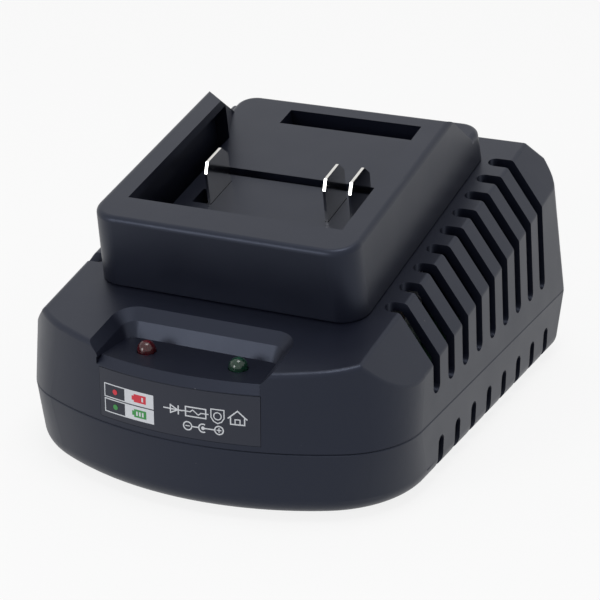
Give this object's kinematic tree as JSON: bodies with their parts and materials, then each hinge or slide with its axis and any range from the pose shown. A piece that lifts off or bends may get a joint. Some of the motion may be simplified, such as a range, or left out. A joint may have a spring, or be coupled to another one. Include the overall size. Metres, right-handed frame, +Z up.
{
  "type": "power tool battery charger",
  "caption": "Slide-in charging dock for a cordless tool battery: tilted rails with contact blades on a vented two-part case, two indicator lamps in a front recess.",
  "frame": {"origin": "middle of the footprint, on the surface that the rubber feet stand on", "axes": "+Y from the front with the lamps and label to the back with the power inlet, +Z up, +X to the right of someone facing the front"},
  "size_m": [0.1232, 0.1448, 0.0832],
  "materials": {
    "case_plastic": "matt charcoal moulded plastic with a fine spark-eroded grain",
    "dock_plastic": "matt charcoal moulded plastic with a fine spark-eroded grain",
    "contact_metal": "tin-plated stamped metal, lightly brushed",
    "foot_rubber": "soft black rubber",
    "screw_steel": "zinc-plated steel",
    "label_film": null,
    "circuit_board": "green solder mask",
    "red_lens": "clear red lamp body, unlit",
    "green_lens": "clear green lamp body, unlit",
    "black_plastic": "black moulded plastic",
    "capacitor_sleeve": "dark blue shrink sleeve",
    "ferrite": "sintered ferrite",
    "winding_copper": "enamelled copper wire",
    "sink_aluminium": "extruded aluminium",
    "header_plastic": "off-white nylon",
    "red_insulation": "red wire insulation",
    "yellow_insulation": "yellow wire insulation",
    "black_insulation": "black wire insulation"
  },
  "bodies": {
    "root": {"lower_shell": "case_plastic", "upper_shell": "case_plastic", "battery_dock": "dock_plastic", "terminal_carrier": "dock_plastic", "positive_terminal": "contact_metal", "sense_terminal": "contact_metal", "negative_terminal": "contact_metal", "rubber_feet": "foot_rubber", "housing_screws": "screw_steel", "board_screws": "screw_steel", "dock_screws": "screw_steel", "carrier_screws": "screw_steel", "indicator_screws": "screw_steel", "heat_sink_screws": "screw_steel", "status_label": "label_film", "indicator_board": "circuit_board", "red_indicator": "red_lens", "green_indicator": "green_lens", "main_board": "circuit_board", "dc_jack": "black_plastic", "dc_jack_pin": "contact_metal", "bulk_capacitors": "capacitor_sleeve", "inductor_core": "ferrite", "inductor_winding": "winding_copper", "heat_sink": "sink_aluminium", "power_transistors": "black_plastic", "controller_chip": "black_plastic", "fuse": "black_plastic", "output_header": "header_plastic", "positive_wire": "red_insulation", "sense_wire": "yellow_insulation", "negative_wire": "black_insulation", "indicator_wire": "yellow_insulation"}
  },
  "joints": []
}
